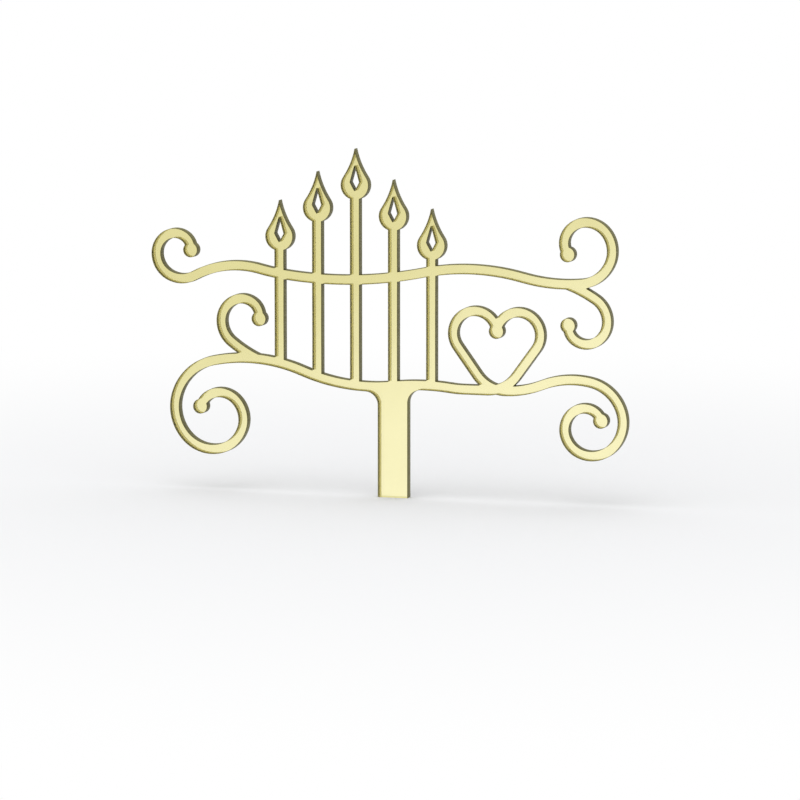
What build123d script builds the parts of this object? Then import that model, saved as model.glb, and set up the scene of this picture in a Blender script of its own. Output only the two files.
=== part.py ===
"""Gold mirror cake topper: candles, a heart and scrolls drawn as one line, cut from a laminated mirror sheet.

The frame is +X to the right, +Y to the back and +Z up. The origin is the middle of the stake, in the middle
of the sheet's thickness, at the level down to which it is pushed in. The drawing is made flat, then each
layer of the sheet gives it that layer's thickness.
"""

import os
from math import cos, radians, sin

from build123d import *

# Sheet: the whole laminate and its two thin back layers, mm
sheet_thickness = 3.0
film_thickness = 0.1
paint_thickness = 0.2

# Drawn line: its width and the bead that ends it, mm
line_width = 3.0
bead_diameter = 4.6

# Stake: the flat blade that is pushed in to hold the topper up, mm
stake_width = 9.5
stake_depth = 50.0
tip_length = 14.0
tip_width = 2.4
tip_radius = 0.8
flare_radius = 4.0

# Scrolls: every arc turns by the same angle, on a radius that is the last one's times the ratio
scroll_turn = 60.0
scroll_ratio = 0.86

# Base line, from the stake to the left: height and slope at the stake, waves and scroll, mm and degrees
base_height = 34.0
base_slope = 7.0
left_sag_radius = 60.0
left_sag_turn = 28.0
left_crest_radius = 50.0
left_crest_turn = 34.0
left_scroll_radius = 15.5
left_scroll_arcs = 7

# Base line, from the stake to the heart: its waves and the level run before the heart, mm and degrees
right_crest_radius = 75.0
right_crest_turn = 14.0
right_sag_radius = 30.0
right_run = 7.6

# Heart: the line swings up from the level, runs straight and goes round a lobe, mm and degrees
heart_foot_radius = 11.0
heart_foot_turn = 54.0
heart_side = 10.5
heart_lobe_radius = 6.8
heart_lobe_turn = 208.0

# Base line, from the heart to the right: its rise, crest and scroll, mm and degrees
end_rise_radius = 30.0
end_rise_turn = 22.0
end_crest_radius = 26.0
end_crest_turn = 34.0
end_scroll_radius = 12.6
end_scroll_arcs = 7

# Candles: evenly spaced stems, and the height of each flame's foot above the base line's height, mm
candle_pitch = 12.0
first_candle = -36.0
flame_heights = (41.5, 50.5, 57.6, 48.5, 40.0)

# Flame: a drop with a round belly and two hollow flanks that meet at its tip, and its kite-shaped slit
flame_belly_radius = 4.4
flame_belly_turn = 124.0
flame_tip_angle = 12.0
slit_height = 1.2
slit_belly = 2.6
slit_length = 7.6
slit_width = 2.8

# Upper line: its height above the base line's height and its slope at the first candle, mm and degrees
upper_height = 33.0
upper_slope = 8.0
upper_left_rise_radius = 60.0
upper_left_rise_turn = 6.0
upper_left_fall_radius = 30.0
upper_left_fall_turn = 42.0
upper_left_scroll_radius = 8.6
upper_sag_radius = 130.0
upper_sag_turn = 20.0
upper_crest_radius = 70.0
upper_crest_turn = 26.0
upper_end_radius = 52.0
upper_end_turn = 20.0
upper_end_scroll_radius = 10.5
upper_scroll_arcs = 5

# Tendrils: short scrolls that leave a line at an angle, part of the way along a wave, mm and degrees
tendril_angle = 20.0
tendril_stem_radius = 40.0
tendril_stem_turn = 14.0
tendril_scroll_radius = 8.0
tendril_scroll_arcs = 4
left_tendril_place = 0.5
right_tendril_place = 0.75

# Distance within which two points are the same, mm
touch = 1e-6


def heading(degrees):
    """The direction at this angle from +X."""
    return Vector(cos(radians(degrees)), sin(radians(degrees)))


def wave(line, radius, turn):
    """Carries a line on along an arc, to its left where the turn is positive."""
    return JernArc(line @ 1, line % 1, radius, turn)


def scroll(line, radius, hand, arcs):
    """Winds a line inwards, to its left where the hand is 1 and to its right where it is -1."""
    for number in range(arcs):
        line = wave(line, radius * scroll_ratio**number, hand * scroll_turn)
    return line


def tendril(line, place, hand):
    """A short scroll that leaves a line on the side of the hand."""
    start = (line % place).rotate(Axis.Z, hand * tendril_angle)
    stem = JernArc(line @ place, start, tendril_stem_radius, hand * tendril_stem_turn)
    return scroll(stem, tendril_scroll_radius, hand, tendril_scroll_arcs)


# Base line to the left, from the stake to its scroll
with BuildLine() as left_line:
    left_sag = JernArc((0, base_height), heading(180 + base_slope), left_sag_radius, -left_sag_turn)
    left_crest = wave(left_sag, left_crest_radius, left_crest_turn)
    left_end = scroll(left_crest, left_scroll_radius, 1, left_scroll_arcs)

# Base line to the right, from the stake round the heart's right lobe to its notch
with BuildLine() as right_line:
    right_crest = JernArc((0, base_height), heading(base_slope), right_crest_radius, -right_crest_turn)
    right_sag = wave(right_crest, right_sag_radius, right_crest_turn - base_slope)
    level = PolarLine(right_sag @ 1, right_run, direction=right_sag % 1)
    foot = wave(level, heart_foot_radius, heart_foot_turn)
    side = PolarLine(foot @ 1, heart_side, direction=foot % 1)
    lobe = wave(side, heart_lobe_radius, heart_lobe_turn)

# Base line on to the right, from the notch round the heart's left lobe to the last scroll
heart_axis = (lobe @ 1).X
with BuildLine() as end_line:
    mirror([foot, side, lobe], about=Plane.YZ.offset(heart_axis))
    end_start = (2 * heart_axis - (foot @ 0).X, (foot @ 0).Y)
    end_rise = JernArc(end_start, heading(0), end_rise_radius, end_rise_turn)
    end_crest = wave(end_rise, end_crest_radius, -end_crest_turn)
    end_end = scroll(end_crest, end_scroll_radius, -1, end_scroll_arcs)

# Upper line, from the first candle to the scroll at each side
upper_start = (first_candle, base_height + upper_height)
with BuildLine() as upper_line:
    upper_left_rise = JernArc(
        upper_start, heading(180 - upper_slope), upper_left_rise_radius, -upper_left_rise_turn
    )
    upper_left_fall = wave(upper_left_rise, upper_left_fall_radius, upper_left_fall_turn)
    upper_left_end = scroll(upper_left_fall, upper_left_scroll_radius, -1, upper_scroll_arcs)
    upper_sag = JernArc(upper_start, heading(-upper_slope), upper_sag_radius, upper_sag_turn)
    upper_crest = wave(upper_sag, upper_crest_radius, -upper_crest_turn)
    upper_end = wave(upper_crest, upper_end_radius, upper_end_turn)
    upper_right_end = scroll(upper_end, upper_end_scroll_radius, 1, upper_scroll_arcs)

# Tendrils, up from the left crest and down from the upper line's right end
with BuildLine() as left_tendril:
    left_tendril_end = tendril(left_crest, left_tendril_place, -1)
with BuildLine() as right_tendril:
    right_tendril_end = tendril(upper_end, right_tendril_place, -1)

# Candle stems, from each flame's foot down to the base line
flame_feet = [
    (first_candle + number * candle_pitch, base_height + height)
    for number, height in enumerate(flame_heights)
]
with BuildLine() as stems:
    for flame_foot in flame_feet:
        IntersectingLine(flame_foot, (0, -1), left_line.edges() + right_line.edges())

# Flame: a drop on the stem's end, with a kite-shaped slit
belly_side = sin(radians(flame_belly_turn))
flank_radius = flame_belly_radius * belly_side / (cos(radians(flame_tip_angle)) - belly_side)
with BuildSketch() as flame:
    with BuildLine():
        belly = JernArc((0, -line_width / 2), heading(0), flame_belly_radius, flame_belly_turn)
        flank = wave(belly, flank_radius, 90 + flame_tip_angle - flame_belly_turn)
        mirror(about=Plane.YZ)
    make_face()
    with Locations((0, slit_height)):
        Polygon(
            (0, 0),
            (slit_width / 2, slit_belly),
            (0, slit_length),
            (-slit_width / 2, slit_belly),
            align=None,
            mode=Mode.SUBTRACT,
        )

# Outline of the whole topper, as the sheet is cut
with BuildSketch() as outline:
    for drawn in (left_line, right_line, end_line, upper_line, left_tendril, right_tendril, stems):
        trace(drawn.line, line_width)
    with Locations(*flame_feet):
        add(flame.sketch)
    scroll_ends = (left_end, end_end, upper_left_end, upper_right_end, left_tendril_end, right_tendril_end)
    with Locations(*(end @ 1 for end in scroll_ends), lobe @ 1):
        Circle(bead_diameter / 2)
    shoulder = tip_length - stake_depth
    Polygon(
        (-stake_width / 2, base_height),
        (-stake_width / 2, shoulder),
        (-tip_width / 2, -stake_depth),
        (tip_width / 2, -stake_depth),
        (stake_width / 2, shoulder),
        (stake_width / 2, base_height),
        align=None,
    )
    flare_corners = outline.vertices().filter_by(lambda vertex: abs(abs(vertex.X) - stake_width / 2) < touch)
    fillet(flare_corners.sort_by(Axis.Y)[-2:], flare_radius)
    fillet(outline.vertices().sort_by(Axis.Y)[:2], tip_radius)

# Painted back, the mirror's metal film and the tinted clear sheet, from the back to the front
film_back = paint_thickness - sheet_thickness / 2
sheet_back = film_back + film_thickness
with BuildPart() as back_coat:
    with BuildSketch(Plane.XZ.offset(-sheet_thickness / 2)):
        add(outline.sketch)
    extrude(amount=paint_thickness)
with BuildPart() as mirror_film:
    with BuildSketch(Plane.XZ.offset(film_back)):
        add(outline.sketch)
    extrude(amount=film_thickness)
with BuildPart() as acrylic_sheet:
    with BuildSketch(Plane.XZ.offset(sheet_back)):
        add(outline.sketch)
    extrude(amount=sheet_thickness / 2 - sheet_back)

back_coat.part.label = "back_coat"
mirror_film.part.label = "mirror_film"
acrylic_sheet.part.label = "acrylic_sheet"
os.makedirs("parts", exist_ok=True)
for layer in (back_coat, mirror_film, acrylic_sheet):
    export_step(layer.part, f"parts/{layer.part.label}.step")
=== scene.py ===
"""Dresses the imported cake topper: a sheet of gold mirror acrylic, cut along one drawn line.

The sheet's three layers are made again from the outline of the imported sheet, with the eased edges, the
slightly tapered cut and the thin metal film that show from close by. The clear layer refracts, so that the
mirror lies behind it and the far walls of the cut show through it.
"""

import logging
from abc import ABC, abstractmethod
from collections.abc import Iterator, Mapping
from dataclasses import asdict, dataclass, fields
from enum import Enum
from math import cos, pi, radians, sin
from typing import ClassVar

import bmesh
import bpy
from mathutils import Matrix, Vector
from mathutils.bvhtree import BVHTree

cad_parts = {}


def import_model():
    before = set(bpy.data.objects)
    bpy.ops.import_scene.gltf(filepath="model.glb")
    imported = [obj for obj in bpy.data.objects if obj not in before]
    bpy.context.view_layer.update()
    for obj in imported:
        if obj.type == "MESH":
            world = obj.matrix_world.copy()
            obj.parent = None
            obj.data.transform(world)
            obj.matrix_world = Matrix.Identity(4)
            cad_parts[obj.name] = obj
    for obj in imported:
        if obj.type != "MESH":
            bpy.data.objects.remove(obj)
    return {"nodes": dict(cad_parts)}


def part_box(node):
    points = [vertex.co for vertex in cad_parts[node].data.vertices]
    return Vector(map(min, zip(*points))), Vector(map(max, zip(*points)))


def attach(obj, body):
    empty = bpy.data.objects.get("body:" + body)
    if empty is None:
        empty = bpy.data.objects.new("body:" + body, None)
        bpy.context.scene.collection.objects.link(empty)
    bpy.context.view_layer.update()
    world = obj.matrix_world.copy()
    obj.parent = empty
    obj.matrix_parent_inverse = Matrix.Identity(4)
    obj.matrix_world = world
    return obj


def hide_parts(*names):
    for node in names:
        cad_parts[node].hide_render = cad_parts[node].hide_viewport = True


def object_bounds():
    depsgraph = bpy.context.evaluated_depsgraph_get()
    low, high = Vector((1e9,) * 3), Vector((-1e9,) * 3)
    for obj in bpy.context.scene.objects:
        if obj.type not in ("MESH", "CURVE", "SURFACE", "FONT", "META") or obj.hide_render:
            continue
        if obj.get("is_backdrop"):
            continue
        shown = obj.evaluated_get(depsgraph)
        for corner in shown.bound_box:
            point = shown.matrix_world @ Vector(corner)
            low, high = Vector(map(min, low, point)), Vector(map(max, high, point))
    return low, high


LOG = logging.getLogger("cake_topper")
MM = 0.001
Colour = tuple[float, float, float, float]
Socket = bpy.types.NodeSocket
Sockets = Mapping[str, Socket]
Feed = float | str | tuple[float, ...] | Socket
Feeds = dict[str, Feed] | dict[int, Feed]


class Layer(Enum):
    """The layers of the sheet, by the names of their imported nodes."""

    ACRYLIC = "acrylic_sheet"
    FILM = "mirror_film"
    COAT = "back_coat"


class Slot(Enum):
    """The record's material slots, one for each layer."""

    ACRYLIC = "tinted_acrylic"
    FILM = "gold_mirror"
    COAT = "back_paint"


class SocketKind(Enum):
    """The kinds of socket that the node groups have."""

    NUMBER = "NodeSocketFloat"
    MATERIAL = "NodeSocketMaterial"
    GEOMETRY = "NodeSocketGeometry"


class MixPlace(Enum):
    """Where a Mix node keeps its sockets for colours."""

    SHARE = 0
    FIRST = 6
    SECOND = 7
    RESULT = 2


@dataclass(frozen=True)
class Graph:
    """A node tree, with short ways to add to it."""

    tree: bpy.types.NodeTree

    def feed(self, socket: Socket, value: Feed) -> None:
        """Feeds an input.

        Args:
            socket: The input.
            value: Its own value, or the socket that it is linked to.
        """
        if isinstance(value, bpy.types.NodeSocket):
            self.tree.links.new(value, socket)
        else:
            socket.default_value = value

    def add(self, kind: str, inputs: Feeds | None = None, **settings: object) -> bpy.types.Node:
        """Adds a node.

        Args:
            kind: The node's type name.
            inputs: What feeds each input that isn't left alone.
            settings: The node's own properties.

        Returns:
            The new node.
        """
        node = self.tree.nodes.new(kind)
        for name, setting in settings.items():
            setattr(node, name, setting)
        for name, value in (inputs or {}).items():
            self.feed(node.inputs[name], value)
        return node

    def take(self, kind: str, output: str | int, inputs: Feeds | None = None, **settings: object) -> Socket:
        """Adds a node as add does, and gives one of its outputs by name or place."""
        return self.add(kind, inputs, **settings).outputs[output]

    def declare(self, inputs: dict[str, SocketKind], output: str, kind: SocketKind) -> tuple[Sockets, Socket]:
        """Gives a node group its inputs and its one output.

        Args:
            inputs: Each input's name and kind.
            output: The output's name.
            kind: The output's kind.

        Returns:
            The inputs by name, and the socket that takes the output.
        """
        for name, input_kind in inputs.items():
            self.tree.interface.new_socket(name, in_out="INPUT", socket_type=input_kind.value)
        self.tree.interface.new_socket(output, in_out="OUTPUT", socket_type=kind.value)
        return self.add("NodeGroupInput").outputs, self.add("NodeGroupOutput").inputs[output]

    def capture(self, geometry: Socket, values: dict[str, tuple[str, Socket]]) -> Sockets:
        """Keeps values on a geometry's points.

        Args:
            geometry: The geometry.
            values: Each value's name, with its data type and its socket.

        Returns:
            The geometry and the values, by name.
        """
        node = self.add("GeometryNodeCaptureAttribute", {"Geometry": geometry})
        for name, (kind, value) in values.items():
            node.capture_items.new(kind, name)
            self.feed(node.inputs[name], value)
        return node.outputs

    def math(self, operation: str, *values: Feed) -> Socket:
        """Adds a Math node with its operation and operands, and gives its result."""
        return self.take("ShaderNodeMath", "Value", dict(enumerate(values)), operation=operation)

    def ramp(self, value: Feed, low: float, high: float, start: Feed, end: Feed) -> Socket:
        """Maps a value between low and high to one between start and end, eased and held at both ends."""
        inputs = {"Value": value, "From Min": low, "From Max": high, "To Min": start, "To Max": end}
        return self.take("ShaderNodeMapRange", "Result", inputs, interpolation_type="SMOOTHSTEP")

    def blend(self, share: Feed, first: Feed, second: Feed) -> Socket:
        """Mixes two colours.

        Args:
            share: The second colour's share.
            first: The first colour.
            second: The second colour.

        Returns:
            The mixed colour.
        """
        inputs = {
            MixPlace.SHARE.value: share,
            MixPlace.FIRST.value: first,
            MixPlace.SECOND.value: second,
        }
        return self.take("ShaderNodeMix", MixPlace.RESULT.value, inputs, data_type="RGBA")

    def spot(self) -> Socket:
        """Gives the place on the surface, in the object's own coordinates."""
        return self.take("ShaderNodeTexCoord", "Object")

    def noise(self, place: Socket, scale: Feed, detail: Feed) -> Socket:
        """Gives a noise at a place on the surface: how fine it is, and how many finer ones lie over it."""
        return self.take("ShaderNodeTexNoise", "Fac", {"Vector": place, "Scale": scale, "Detail": detail})

    def bump(self, height: Socket, depth: float, strength: Feed = 1.0) -> Socket:
        """Gives the normal of a relief that is too fine for the mesh, from its height of 0 to 1."""
        inputs = {"Strength": strength, "Height": height, "Distance": depth}
        return self.take("ShaderNodeBump", "Normal", inputs)


@dataclass(frozen=True)
class Effect(ABC):
    """What more than one finish shows: a shader node group whose inputs are the effect's fields."""

    name: ClassVar[str]

    @classmethod
    @abstractmethod
    def draw(cls, graph: Graph, given: Sockets) -> Socket:
        """Draws the effect in its group.

        Args:
            graph: The group's graph.
            given: The group's inputs.

        Returns:
            The effect's value.
        """

    @classmethod
    def group(cls) -> bpy.types.NodeTree:
        """Finds the effect's group, which is built the first time.

        Returns:
            The group.
        """
        if cls.name in bpy.data.node_groups:
            return bpy.data.node_groups[cls.name]
        graph = Graph(bpy.data.node_groups.new(cls.name, "ShaderNodeTree"))
        inputs = {item.name.capitalize(): SocketKind.NUMBER for item in fields(cls)}
        given, result = graph.declare(inputs, "Value", SocketKind.NUMBER)
        graph.feed(result, cls.draw(graph, given))
        return graph.tree

    def place(self, graph: Graph) -> Socket:
        """Places the effect in a material's graph with its own values, and gives its result."""
        inputs = {name.capitalize(): value for name, value in asdict(self).items()}
        return graph.take("ShaderNodeGroup", "Value", inputs, node_tree=self.group())


@dataclass(frozen=True)
class Mottle(Effect):
    """Soft spots: how fine they are, and the two values that they lie between."""

    name: ClassVar[str] = "mottle"
    noise_span: ClassVar[tuple[float, float]] = (0.3, 0.7)
    scale: float
    detail: float
    low: float = 0.0
    high: float = 1.0

    @classmethod
    def draw(cls, graph: Graph, given: Sockets) -> Socket:
        """Draws the spots in the group, as a value between low and high."""
        noise = graph.noise(graph.spot(), given["Scale"], given["Detail"])
        return graph.ramp(noise, *cls.noise_span, given["Low"], given["High"])


@dataclass(frozen=True)
class Hairlines(Effect):
    """The fine scratches that wiping leaves in two directions: how fine they are, and how strong."""

    name: ClassVar[str] = "hairlines"
    angles: ClassVar[tuple[float, float]] = (radians(24), radians(-57))
    stretch: ClassVar[float] = 0.02
    detail: ClassVar[float] = 1.0
    noise_span: ClassVar[tuple[float, float]] = (0.66, 0.74)
    scale: float
    cover: float

    @classmethod
    def draw(cls, graph: Graph, given: Sockets) -> Socket:
        """Draws the scratches in the group, as noise that is drawn out along each direction.

        Args:
            graph: The group's graph.
            given: The group's inputs.

        Returns:
            The mask of the scratches.
        """
        spot = graph.spot()
        lines = []
        for angle in cls.angles:
            turn = {"Vector": spot, "Rotation": (0.0, angle, 0.0)}
            turned = graph.take("ShaderNodeMapping", "Vector", turn)
            draw_out = {"Vector": turned, "Scale": (1.0, 1.0, cls.stretch)}
            drawn = graph.take("ShaderNodeMapping", "Vector", draw_out)
            noise = graph.noise(drawn, given["Scale"], cls.detail)
            lines.append(graph.ramp(noise, *cls.noise_span, 0.0, 1.0))
        return graph.math("MULTIPLY", graph.math("MAXIMUM", *lines), given["Cover"])


@dataclass(frozen=True)
class Finish(ABC):
    """A surface finish: one procedural material round a Principled shader."""

    name: str

    @abstractmethod
    def inputs(self, graph: Graph) -> dict[str, Feed]:
        """Draws the finish.

        Args:
            graph: The material's graph.

        Returns:
            What feeds each of the shader's inputs that isn't left alone.
        """

    def make(self) -> bpy.types.Material:
        """Makes the material.

        Returns:
            The material.
        """
        material = bpy.data.materials.new(self.name)
        material.use_nodes = True
        graph = Graph(material.node_tree)
        shader = next(node for node in graph.tree.nodes if node.type == "BSDF_PRINCIPLED")
        for name, value in self.inputs(graph).items():
            graph.feed(shader.inputs[name], value)
        return material


@dataclass(frozen=True)
class PolishedAcrylic(Finish):
    """The clear tinted sheet's polished faces, with hairlines that only dull them a little."""

    name: str = "polished_tinted_acrylic"
    tint: Colour = (0.985, 0.950, 0.700, 1.0)
    index: float = 1.49
    scratches: Hairlines = Hairlines(scale=1400.0, cover=0.07)

    def inputs(self, graph: Graph) -> dict[str, Feed]:
        """Draws the clear plastic.

        Args:
            graph: The material's graph.

        Returns:
            The shader's inputs.
        """
        return {
            "Base Color": self.tint,
            "IOR": self.index,
            "Transmission Weight": 1.0,
            "Roughness": self.scratches.place(graph),
        }


@dataclass(frozen=True)
class CutWall(Finish):
    """The laser-cut wall: dull olive with fine lines along the beam, and a dim mirror seen from inside.

    From inside it has painted shade straight through the sheet, and a painted reflection from the film.
    """

    name: str = "laser_cut_wall"
    dark: Colour = (0.120, 0.110, 0.026, 1.0)
    light: Colour = (0.162, 0.150, 0.040, 1.0)
    scorch: Colour = (0.110, 0.097, 0.026, 1.0)
    # Painted from inside: shade straight through the sheet, and a reflection from the film.
    inner: Colour = (0.050, 0.046, 0.026, 1.0)
    painted_reflection: Colour = (0.75, 0.71, 0.54, 1.0)
    sheen_tint: Colour = (0.63, 0.60, 0.33, 1.0)
    specular: float = 0.22
    dark_roughness: float = 0.5
    light_roughness: float = 0.4
    inner_roughness: float = 0.22
    line_scale: float = 3600.0
    line_stretch: float = 0.03
    line_detail: float = 3.0
    line_span: tuple[float, float] = (0.32, 0.68)
    line_depth: float = 0.003 * MM
    burns: Mottle = Mottle(scale=160.0, detail=3.0, high=0.6)

    def inputs(self, graph: Graph) -> dict[str, Feed]:
        """Draws the wall, with noise that is drawn out along the sheet's thickness.

        Args:
            graph: The material's graph.

        Returns:
            The shader's inputs.
        """
        draw_out = {"Vector": graph.spot(), "Scale": (1.0, self.line_stretch, 1.0)}
        drawn = graph.take("ShaderNodeMapping", "Vector", draw_out)
        noise = graph.noise(drawn, self.line_scale, self.line_detail)
        lines = graph.ramp(noise, *self.line_span, 0.0, 1.0)
        clean = graph.blend(lines, self.dark, self.light)
        outside = graph.blend(self.burns.place(graph), clean, self.scorch)
        dull = graph.ramp(lines, 0.0, 1.0, self.dark_roughness, self.light_roughness)
        # A ray that comes straight through the front is a transmission ray, and one from the film isn't.
        direct = graph.take("ShaderNodeLightPath", "Is Transmission Ray")
        # Painted shade for the direct view of the inside, and a painted reflection for the film's image.
        inside = graph.blend(direct, self.painted_reflection, self.inner)
        from_inside = graph.take("ShaderNodeNewGeometry", "Backfacing")
        from_outside = graph.math("SUBTRACT", 1.0, from_inside)
        return {
            "Base Color": graph.blend(from_inside, outside, inside),
            "Metallic": from_inside,
            "Roughness": graph.ramp(from_inside, 0.0, 1.0, dull, self.inner_roughness),
            "Specular Tint": self.sheen_tint,
            "Specular IOR Level": self.specular,
            "Normal": graph.bump(lines, self.line_depth, from_outside),
        }


@dataclass(frozen=True)
class GoldFilm(Finish):
    """The metal film behind the acrylic: a mirror with faint clouds and a plastic sheet's slow ripple."""

    name: str = "gold_mirror_film"
    metal: Colour = (0.985, 0.965, 0.765, 1.0)
    clouded: Colour = (0.960, 0.938, 0.730, 1.0)
    clouds: Mottle = Mottle(scale=70.0, detail=4.0)
    haze: Mottle = Mottle(scale=240.0, detail=3.0, low=0.02, high=0.06)
    ripple: Mottle = Mottle(scale=55.0, detail=0.0)
    ripple_depth: float = 0.004 * MM

    def inputs(self, graph: Graph) -> dict[str, Feed]:
        """Draws the mirror.

        Args:
            graph: The material's graph.

        Returns:
            The shader's inputs.
        """
        return {
            "Base Color": graph.blend(self.clouds.place(graph), self.metal, self.clouded),
            "Metallic": 1.0,
            "Roughness": self.haze.place(graph),
            "Normal": graph.bump(self.ripple.place(graph), self.ripple_depth),
        }


@dataclass(frozen=True)
class BackPaint(Finish):
    """The matt paint that protects the film: an uneven grey coat with fine grain and wiping marks."""

    name: str = "matt_back_paint"
    paint: Colour = (0.150, 0.150, 0.140, 1.0)
    worn: Colour = (0.205, 0.202, 0.190, 1.0)
    clouds: Mottle = Mottle(scale=130.0, detail=5.0, high=0.7)
    marks: Hairlines = Hairlines(scale=900.0, cover=0.5)
    dullness: Mottle = Mottle(scale=900.0, detail=2.0, low=0.5, high=0.68)
    grain: Mottle = Mottle(scale=2600.0, detail=2.0)
    grain_depth: float = 0.01 * MM

    def inputs(self, graph: Graph) -> dict[str, Feed]:
        """Draws the paint.

        Args:
            graph: The material's graph.

        Returns:
            The shader's inputs.
        """
        wear = graph.math("MAXIMUM", self.clouds.place(graph), self.marks.place(graph))
        return {
            "Base Color": graph.blend(wear, self.paint, self.worn),
            "Roughness": self.dullness.place(graph),
            "Normal": graph.bump(self.grain.place(graph), self.grain_depth),
        }


@dataclass(frozen=True)
class CutPath:
    """The closed loops that the sheet is cut along, with the sheet always on their left."""

    node: bpy.types.Object
    weld: float = 0.001 * MM
    front_normal: float = -0.9
    corner_turn: float = radians(14)
    straight_ratio: float = 2.0
    handle_parts: float = 3.0
    room_share: float = 0.3
    steps: int = 3

    def loops(self) -> list[list[Vector]]:
        """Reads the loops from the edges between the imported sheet's front and its walls.

        Returns:
            Each loop's points, in the plane of the sheet.
        """
        sheet = bmesh.new()
        sheet.from_mesh(self.node.data)
        bmesh.ops.remove_doubles(sheet, verts=sheet.verts, dist=self.weld)
        sheet.normal_update()
        following = {}
        for face in sheet.faces:
            if face.normal.y >= self.front_normal:
                continue
            for side in face.loops:
                if side.link_loop_radial_next.face.normal.y > self.front_normal:
                    following[side.vert] = side.link_loop_next.vert
        found = []
        while following:
            vertex = next(iter(following))
            points = []
            while vertex in following:
                points.append(vertex.co.xz.copy())
                vertex = following.pop(vertex)
            found.append(points)
        sheet.free()
        return found

    def stretches(self, points: list[Vector]) -> Iterator[tuple[Vector, Vector, Vector]]:
        """Goes round a loop: each point between the one before it and the one after it."""
        return zip(points[-1:] + points[:-1], points, points[1:] + points[:1])

    def knots(self, points: list[Vector]) -> Iterator[tuple[Vector, Vector, Vector]]:
        """Finds handles that keep corners sharp, straight runs straight and arcs round.

        Args:
            points: A loop's points.

        Yields:
            Each point's left handle, the point and its right handle.
        """
        for before, point, after in self.stretches(points):
            arriving, leaving = point - before, after - point
            way_in, way_out = arriving.normalized(), leaving.normalized()
            if arriving.angle(leaving) < self.corner_turn:
                if arriving.length > self.straight_ratio * leaving.length:
                    way_out = way_in
                elif leaving.length > self.straight_ratio * arriving.length:
                    way_in = way_out
                else:
                    way_in = way_out = (way_in + way_out).normalized()
            left = point - way_in * arriving.length / self.handle_parts
            yield left, point, point + way_out * leaving.length / self.handle_parts

    def rooms(self, points: list[Vector], sheet: BVHTree) -> Iterator[float]:
        """Finds how far the edge may move in without meeting the edge across from it.

        Args:
            points: A loop's points.
            sheet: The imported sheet's faces.

        Yields:
            The room at each point.
        """
        for before, point, after in self.stretches(points):
            way = (after - before).normalized()
            inwards = Vector((-way.y, 0.0, way.x))
            start = Vector((point.x, 0.0, point.y)) + inwards * self.weld
            *_, distance = sheet.ray_cast(start, inwards)
            yield distance * self.room_share

    def build(self) -> bpy.types.Object:
        """Draws the loops as one flat curve, whose radius at each point is the room there.

        Returns:
            The curve's object.
        """
        sheet = BVHTree.FromObject(self.node, bpy.context.evaluated_depsgraph_get())
        curve = bpy.data.curves.new("cut_path", "CURVE")
        curve.dimensions = "3D"
        for points in self.loops():
            spline = curve.splines.new("BEZIER")
            spline.bezier_points.add(len(points) - 1)
            spline.use_cyclic_u = True
            spline.resolution_u = self.steps
            drawn = zip(spline.bezier_points, self.knots(points), self.rooms(points, sheet))
            for knot, (left, point, right), room in drawn:
                knot.handle_left_type = knot.handle_right_type = "FREE"
                knot.co = point.to_3d()
                knot.handle_left = left.to_3d()
                knot.handle_right = right.to_3d()
                knot.radius = room
        path = bpy.data.objects.new("cut_path", curve)
        bpy.context.scene.collection.objects.link(path)
        LOG.info("%s: %d loops", path.name, len(curve.splines))
        return path


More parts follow.
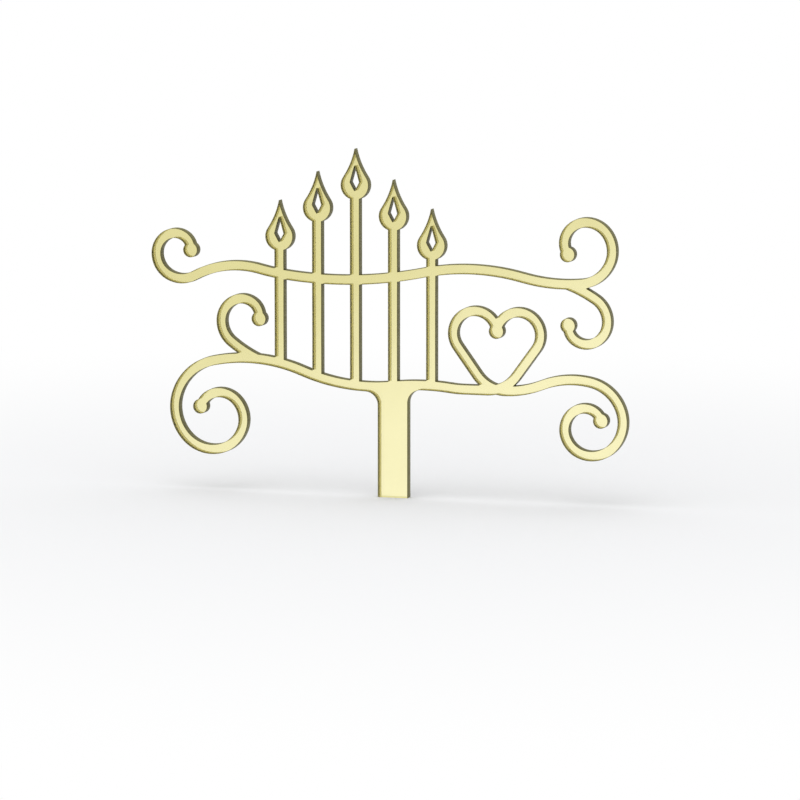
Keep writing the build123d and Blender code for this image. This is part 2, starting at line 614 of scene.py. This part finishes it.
@dataclass(frozen=True)
class LayerTree:
    """The Geometry Nodes tree that gives the cut path the thickness of one layer.

    It works flat, with the sheet's front up, and stands the layer upright at its end.
    """

    weld: float = 0.0005 * MM
    ease_steps: int = 2
    lip_radii: float = 2.0
    rim_mark: str = "cut_rim"

    def build(self) -> bpy.types.NodeTree:
        """Builds the tree.

        Returns:
            The tree, whose inputs are the cut's sizes and the layer's finishes.
        """
        graph = Graph(bpy.data.node_groups.new("cut_layer", "GeometryNodeTree"))
        sizes = ("Front", "Back", "Front Inset", "Back Inset", "Edge Radius")
        finishes = ("Face Finish", "Rim Finish")
        inputs = {"Geometry": SocketKind.GEOMETRY}
        inputs |= dict.fromkeys(sizes, SocketKind.NUMBER)
        inputs |= dict.fromkeys(finishes, SocketKind.MATERIAL)
        given, result = graph.declare(inputs, "Geometry", SocketKind.GEOMETRY)
        path = self.path(graph, given["Geometry"])
        lip = graph.math("MULTIPLY", given["Edge Radius"], self.lip_radii)
        front_margin = graph.math("ADD", given["Front Inset"], lip)
        back_margin = graph.math("ADD", given["Back Inset"], lip)
        corners = (
            (front_margin, given["Front"]),
            (given["Front Inset"], given["Front"]),
            (given["Back Inset"], given["Back"]),
            (back_margin, given["Back"]),
        )
        profile = self.profile(graph, corners, given["Edge Radius"])
        rim = self.rim(graph, path, profile)
        front = self.cap(graph, path, front_margin, given["Front"])
        back = self.cap(graph, path, back_margin, given["Back"])
        turned = graph.take("GeometryNodeFlipFaces", "Mesh", {"Mesh": back})
        upright = self.joined(graph, (turned, front, rim))
        graph.feed(result, self.dressed(graph, upright, given))
        return graph.tree

    def path(self, graph: Graph, curve: Socket) -> Sockets:
        """Keeps on each point of the path the way out of the sheet and its room.

        Args:
            graph: The tree's graph.
            curve: The cut path.

        Returns:
            The path's geometry, directions and room, by name.
        """
        level = graph.take("GeometryNodeSetCurveNormal", "Curve", {"Curve": curve}, mode="Z_UP")
        dense = graph.take("GeometryNodeResampleCurve", "Curve", {"Curve": level}, mode="EVALUATED")
        outwards = graph.take("GeometryNodeInputNormal", "Normal")
        room = graph.take("GeometryNodeInputRadius", "Radius")
        return graph.capture(dense, {"Outwards": ("VECTOR", outwards), "Room": ("FLOAT", room)})

    def moved(self, graph: Graph, path: Sockets, geometry: Socket, shift: Socket) -> Socket:
        """Moves points outwards from the sheet.

        Args:
            graph: The tree's graph.
            path: The cut path, with its directions.
            geometry: The points' mesh or curve.
            shift: How far they move.

        Returns:
            The moved mesh or curve.
        """
        scaled = {"Vector": path["Outwards"], "Scale": shift}
        offset = graph.take("ShaderNodeVectorMath", "Vector", scaled, operation="SCALE")
        return graph.take("GeometryNodeSetPosition", "Geometry", {"Geometry": geometry, "Offset": offset})

    def profile(self, graph: Graph, corners: tuple[tuple[Socket, Socket], ...], radius: Socket) -> Sockets:
        """Draws the wall's profile, with eased corners.

        Args:
            graph: The tree's graph.
            corners: How far inside the path each corner is, and its height.
            radius: The corners' radius.

        Returns:
            The profile's geometry and the places of its points, by name.
        """
        index = graph.take("GeometryNodeInputIndex", "Index")
        chosen = graph.add("GeometryNodeIndexSwitch", {"Index": index}, data_type="VECTOR")
        while len(chosen.index_switch_items) < len(corners):
            chosen.index_switch_items.new()
        for number, (inset, height) in enumerate(corners, start=1):
            place = {"X": graph.math("MULTIPLY", inset, -1.0), "Y": graph.math("MULTIPLY", height, -1.0)}
            graph.feed(chosen.inputs[number], graph.take("ShaderNodeCombineXYZ", "Vector", place))
        line = graph.take("GeometryNodeCurvePrimitiveLine", "Curve")
        dotting = {"Curve": line, "Count": len(corners)}
        dotted = graph.take("GeometryNodeResampleCurve", "Curve", dotting, mode="COUNT")
        bending = {"Geometry": dotted, "Position": chosen.outputs["Output"]}
        bent = graph.take("GeometryNodeSetPosition", "Geometry", bending)
        easing = {"Curve": bent, "Count": self.ease_steps, "Radius": radius}
        eased = graph.take("GeometryNodeFilletCurve", "Curve", easing, mode="POLY")
        place = graph.take("GeometryNodeInputPosition", "Position")
        return graph.capture(eased, {"Corner": ("VECTOR", place)})

    def rim(self, graph: Graph, path: Sockets, profile: Sockets) -> Socket:
        """Carries the wall's profile along the path, no further in than the room allows.

        Args:
            graph: The tree's graph.
            path: The cut path, with its directions and room.
            profile: The wall's profile, with the places of its points.

        Returns:
            The wall.
        """
        sweep = {"Curve": path["Geometry"], "Profile Curve": profile["Geometry"]}
        swept = graph.take("GeometryNodeCurveToMesh", "Mesh", sweep)
        reach = graph.take("ShaderNodeSeparateXYZ", "X", {"Vector": profile["Corner"]})
        excess = graph.math("SUBTRACT", graph.math("MULTIPLY", reach, -1.0), path["Room"])
        fitted = self.moved(graph, path, swept, graph.math("MAXIMUM", excess, 0.0))
        shading = {"Geometry": fitted, "Shade Smooth": True}
        smooth = graph.take("GeometryNodeSetShadeSmooth", "Geometry", shading)
        mark = {"Geometry": smooth, "Name": self.rim_mark, "Value": True}
        return graph.take(
            "GeometryNodeStoreNamedAttribute", "Geometry", mark, data_type="BOOLEAN", domain="FACE"
        )

    def cap(self, graph: Graph, path: Sockets, margin: Socket, height: Socket) -> Socket:
        """Adds a flat face inside the path, facing up.

        Args:
            graph: The tree's graph.
            path: The cut path, with its directions and room.
            margin: How far inside the path the face ends.
            height: The face's height.

        Returns:
            The face.
        """
        inset = graph.math("MINIMUM", margin, path["Room"])
        inner = self.moved(graph, path, path["Geometry"], graph.math("MULTIPLY", inset, -1.0))
        filled = graph.take("GeometryNodeFillCurve", "Mesh", {"Curve": inner}, mode="TRIANGLES")
        shading = {"Geometry": filled, "Shade Smooth": False}
        flat = graph.take("GeometryNodeSetShadeSmooth", "Geometry", shading)
        lift = graph.take("ShaderNodeCombineXYZ", "Vector", {"Z": height})
        return graph.take("GeometryNodeTransform", "Geometry", {"Geometry": flat, "Translation": lift})

    def joined(self, graph: Graph, parts: tuple[Socket, ...]) -> Socket:
        """Joins a layer's faces and stands the layer upright.

        Args:
            graph: The tree's graph.
            parts: The faces and the wall.

        Returns:
            The closed layer.
        """
        together = graph.add("GeometryNodeJoinGeometry")
        for part in parts:
            graph.feed(together.inputs["Geometry"], part)
        welding = {"Geometry": together.outputs["Geometry"], "Distance": self.weld}
        welded = graph.take("GeometryNodeMergeByDistance", "Geometry", welding)
        standing = {"Geometry": welded, "Rotation": (pi / 2, 0.0, 0.0)}
        return graph.take("GeometryNodeTransform", "Geometry", standing)

    def dressed(self, graph: Graph, layer: Socket, given: Sockets) -> Socket:
        """Gives the layer's faces and wall their finishes.

        Args:
            graph: The tree's graph.
            layer: The closed layer.
            given: The tree's inputs.

        Returns:
            The finished layer.
        """
        real = graph.take("GeometryNodeRealizeInstances", "Geometry", {"Geometry": layer})
        facing = {"Geometry": real, "Material": given["Face Finish"]}
        faced = graph.take("GeometryNodeSetMaterial", "Geometry", facing)
        mark = {"Name": self.rim_mark}
        on_rim = graph.take("GeometryNodeInputNamedAttribute", "Attribute", mark, data_type="BOOLEAN")
        rimming = {"Geometry": faced, "Selection": on_rim, "Material": given["Rim Finish"]}
        return graph.take("GeometryNodeSetMaterial", "Geometry", rimming)


@dataclass(frozen=True)
class CutLayer:
    """One layer of the sheet: its finishes, eased edges, reach into the layer in front of it, and insets."""

    layer: Layer
    face: bpy.types.Material
    rim: bpy.types.Material
    edge_radius: float
    overlap: float = 0.0
    front_inset: float = 0.0
    back_inset: float = 0.0

    def inputs(self) -> dict[str, float | bpy.types.Material]:
        """Finds the layer tree's inputs.

        Returns:
            Each input's value by its name.
        """
        low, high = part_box(self.layer.value)
        return {
            "Front": self.overlap - low.y,
            "Back": -high.y,
            "Front Inset": self.front_inset,
            "Back Inset": self.back_inset,
            "Edge Radius": self.edge_radius,
            "Face Finish": self.face,
            "Rim Finish": self.rim,
        }

    def cut(self, path: bpy.types.Object, tree: bpy.types.NodeTree) -> bpy.types.Mesh:
        """Cuts the layer along the path.

        Args:
            path: The cut path.
            tree: The layer tree.

        Returns:
            The layer's mesh.
        """
        modifier = path.modifiers.new("cut_layer", "NODES")
        modifier.node_group = tree
        values = self.inputs()
        for socket in tree.interface.items_tree:
            if socket.name in values:
                modifier[socket.identifier] = values[socket.name]
        graph = bpy.context.evaluated_depsgraph_get()
        mesh = bpy.data.meshes.new_from_object(path.evaluated_get(graph), depsgraph=graph)
        path.modifiers.remove(modifier)
        # The curve's own empty material slot comes first.
        mesh.materials.pop(index=0)
        return mesh


@dataclass(frozen=True)
class MirrorSheet:
    """The topper: a clear tinted sheet, its mirror film and its painted back, cut along one path."""

    edge_radius: float = 0.03 * MM
    film_edge_radius: float = 0.01 * MM
    cut_taper: float = 0.06 * MM
    film_inset: float = 0.03 * MM
    bond: float = 0.02 * MM
    sharp_turn: float = radians(30)

    def layers(self) -> tuple[CutLayer, ...]:
        """Chooses how each layer is cut and finished.

        Returns:
            The layers, from the front to the back.
        """
        wall, film = CutWall().make(), GoldFilm().make()
        acrylic, paint = PolishedAcrylic().make(), BackPaint().make()
        return (
            CutLayer(Layer.ACRYLIC, acrylic, wall, self.edge_radius, front_inset=self.cut_taper),
            CutLayer(
                Layer.FILM, film, film, self.film_edge_radius, self.bond, self.film_inset, self.film_inset
            ),
            CutLayer(Layer.COAT, paint, wall, self.edge_radius, self.bond),
        )

    def build(self, nodes: dict[str, bpy.types.Object]) -> list[bpy.types.Object]:
        """Builds the three layers.

        Args:
            nodes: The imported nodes.

        Returns:
            The three pieces.
        """
        path = CutPath(nodes[Layer.ACRYLIC.value]).build()
        tree = LayerTree().build()
        pieces = [self.piece(plan.layer, plan.cut(path, tree)) for plan in self.layers()]
        bpy.data.objects.remove(path)
        return pieces

    def piece(self, layer: Layer, mesh: bpy.types.Mesh) -> bpy.types.Object:
        """Puts a layer's mesh in its node's place.

        Args:
            layer: The layer.
            mesh: Its mesh.

        Returns:
            The piece.
        """
        mesh.set_sharp_from_angle(angle=self.sharp_turn)
        piece = bpy.data.objects.new(f"topper_{layer.value}", mesh)
        mesh.name = piece.name
        bpy.context.scene.collection.objects.link(piece)
        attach(piece, "root")
        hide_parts(layer.value)
        return piece


@dataclass(frozen=True)
class Studio:
    """A white sweep, a slightly dimmer room that shows only in the topper, and one soft lamp."""

    backdrop: Colour = (1.0, 1.0, 1.0, 1.0)
    room: Colour = (0.80, 0.785, 0.63, 1.0)
    fill: Colour = (0.75, 0.75, 0.75, 1.0)
    room_way: tuple[float, float, float] = (-1.0, 0.0, 0.0)
    room_turn: float = 0.3
    room_start: float = 0.0
    room_end: float = 0.24
    floor_radius: float = 4.0
    floor_sides: int = 96
    slot_width: float = 9.4 * MM
    slot_depth: float = 2.9 * MM
    floor_colour: Colour = (0.93, 0.935, 0.945, 1.0)
    bare_radius: float = 0.06
    clear_radius: float = 0.40
    lamp_place: tuple[float, float, float] = (-0.15, -0.25, 1.7)
    lamp_size: float = 1.8
    lamp_power: float = 9.8

    def rays(self, graph: Graph) -> tuple[Socket, Socket]:
        """Tells rays apart by where they come from.

        Args:
            graph: The graph.

        Returns:
            The test for rays from the camera, and the one for rays from a mirror or clear plastic.
        """
        path = graph.add("ShaderNodeLightPath").outputs
        mirrored = graph.math("MAXIMUM", path["Is Glossy Ray"], path["Is Transmission Ray"])
        return path["Is Camera Ray"], mirrored

    def tone(self, graph: Graph, place: Socket, mirrored: Socket, start: float, end: float) -> Socket:
        """Adds the colour of the surroundings: the white sweep, and in mirrors the room in front of it.

        Args:
            graph: The graph.
            place: The place or the direction that is seen.
            mirrored: The test for rays from a mirror or clear plastic.
            start: How far along the room's way its colour starts.
            end: How far along it is the whole colour.

        Returns:
            The colour.
        """
        sides = {0: place, 1: self.room_way}
        along = graph.take("ShaderNodeVectorMath", "Value", sides, operation="DOT_PRODUCT")
        share = graph.math("MULTIPLY", graph.ramp(along, start, end, 0.0, 1.0), mirrored)
        return graph.blend(share, self.backdrop, self.room)

    def build_world(self) -> None:
        """Builds the world: the surroundings for rays that show them, and an even fill for all others."""
        world = bpy.data.worlds.new("studio")
        world.use_nodes = True
        graph = Graph(world.node_tree)
        background = next(node for node in graph.tree.nodes if node.type == "BACKGROUND")
        camera, mirrored = self.rays(graph)
        direction = graph.take("ShaderNodeTexCoord", "Generated")
        colour = self.tone(graph, direction, mirrored, -self.room_turn, self.room_turn)
        shown = graph.math("MAXIMUM", camera, mirrored)
        graph.feed(background.inputs["Color"], graph.blend(shown, self.fill, colour))
        bpy.context.scene.world = world

    def build_floor(self) -> None:
        """Builds the floor, with a slot that the stake goes down through.

        Without the slot the floor would show inside the clear sheet.
        """
        disc = bmesh.new()
        bmesh.ops.create_circle(disc, segments=self.floor_sides, radius=self.floor_radius)
        across, along = self.slot_width / 2, self.slot_depth / 2
        corners = ((-across, -along), (across, -along), (across, along), (-across, along))
        slot = [disc.verts.new((x, y, 0.0)) for x, y in corners]
        for first, second in zip(slot, slot[1:] + slot[:1]):
            disc.edges.new((first, second))
        bmesh.ops.triangle_fill(disc, use_beauty=True, edges=disc.edges)
        mesh = bpy.data.meshes.new("floor")
        disc.to_mesh(mesh)
        disc.free()
        mesh.materials.append(self.floor_finish())
        floor = bpy.data.objects.new("floor", mesh)
        bpy.context.scene.collection.objects.link(floor)
        floor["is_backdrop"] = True

    def floor_finish(self) -> bpy.types.Material:
        """Makes the floor's material: bare round the stake, and as bright as the sweep further out.

        Returns:
            The material.
        """
        material = bpy.data.materials.new("studio_floor")
        material.use_nodes = True
        graph = Graph(material.node_tree)
        graph.tree.nodes.clear()
        spot = graph.spot()
        camera, mirrored = self.rays(graph)
        bare = graph.take("ShaderNodeBsdfDiffuse", "BSDF", {"Color": self.floor_colour})
        colour = self.tone(graph, spot, mirrored, self.room_start, self.room_end)
        bright = graph.take("ShaderNodeEmission", "Emission", {"Color": colour})
        distance = graph.take("ShaderNodeVectorMath", "Value", {0: spot}, operation="LENGTH")
        cleared = graph.ramp(distance, self.bare_radius, self.clear_radius, 0.0, 1.0)
        share = graph.math("MAXIMUM", graph.math("MULTIPLY", cleared, camera), mirrored)
        mixed = graph.take("ShaderNodeMixShader", "Shader", {0: share, 1: bare, 2: bright})
        graph.add("ShaderNodeOutputMaterial", {"Surface": mixed})
        return material

    def build_lamp(self, target: Vector) -> None:
        """Builds the soft square lamp.

        Args:
            target: What it points at.
        """
        light = bpy.data.lights.new("overhead_lamp", "AREA")
        light.size = self.lamp_size
        light.energy = self.lamp_power
        lamp = bpy.data.objects.new("overhead_lamp", light)
        lamp.location = self.lamp_place
        lamp.rotation_euler = (target - Vector(self.lamp_place)).to_track_quat("-Z", "Y").to_euler()
        bpy.context.scene.collection.objects.link(lamp)

    def build(self, middle: Vector) -> None:
        """Builds the world, the floor and the lamp.

        Args:
            middle: The topper's middle.
        """
        self.build_world()
        self.build_floor()
        self.build_lamp(middle)


@dataclass(frozen=True)
class PhotoCamera:
    """The photograph's view: its angles, and where in the picture the stake goes into the floor."""

    azimuth: float = radians(17)
    elevation: float = radians(7.5)
    distance: float = 1.4
    near_share: float = 0.01
    picture_size: float = 800.0
    stake_column: float = 394.0
    foot_row: float = 497.0
    pixels_per_metre: float = 3300.0

    def build(self) -> None:
        """Builds the camera and makes it the scene's."""
        back = Vector((
            sin(self.azimuth) * cos(self.elevation),
            -cos(self.azimuth) * cos(self.elevation),
            sin(self.elevation),
        ))
        turn = (-back).to_track_quat("-Z", "Y")
        right, up = turn @ Vector((1.0, 0.0, 0.0)), turn @ Vector((0.0, 1.0, 0.0))
        half = self.picture_size / 2
        aim = (right * (half - self.stake_column) + up * (self.foot_row - half)) / self.pixels_per_metre
        data = bpy.data.cameras.new("photo_camera")
        data.lens = data.sensor_width * self.distance * self.pixels_per_metre / self.picture_size
        data.clip_start = self.distance * self.near_share
        camera = bpy.data.objects.new("photo_camera", data)
        camera.location = aim + back * self.distance
        camera.rotation_euler = turn.to_euler()
        bpy.context.scene.collection.objects.link(camera)
        bpy.context.scene.camera = camera


def main() -> None:
    """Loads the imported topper, dresses it and sets the stage."""
    logging.basicConfig(level=logging.INFO, format="%(name)s: %(message)s")
    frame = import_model()
    cad_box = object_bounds()
    bpy.context.scene.view_settings.view_transform = "Standard"
    for piece in MirrorSheet().build(frame["nodes"]):
        LOG.info("%s: %d faces", piece.name, len(piece.data.polygons))
    Studio().build((cad_box[0] + cad_box[1]) / 2)
    PhotoCamera().build()


if __name__ == "__main__":
    main()
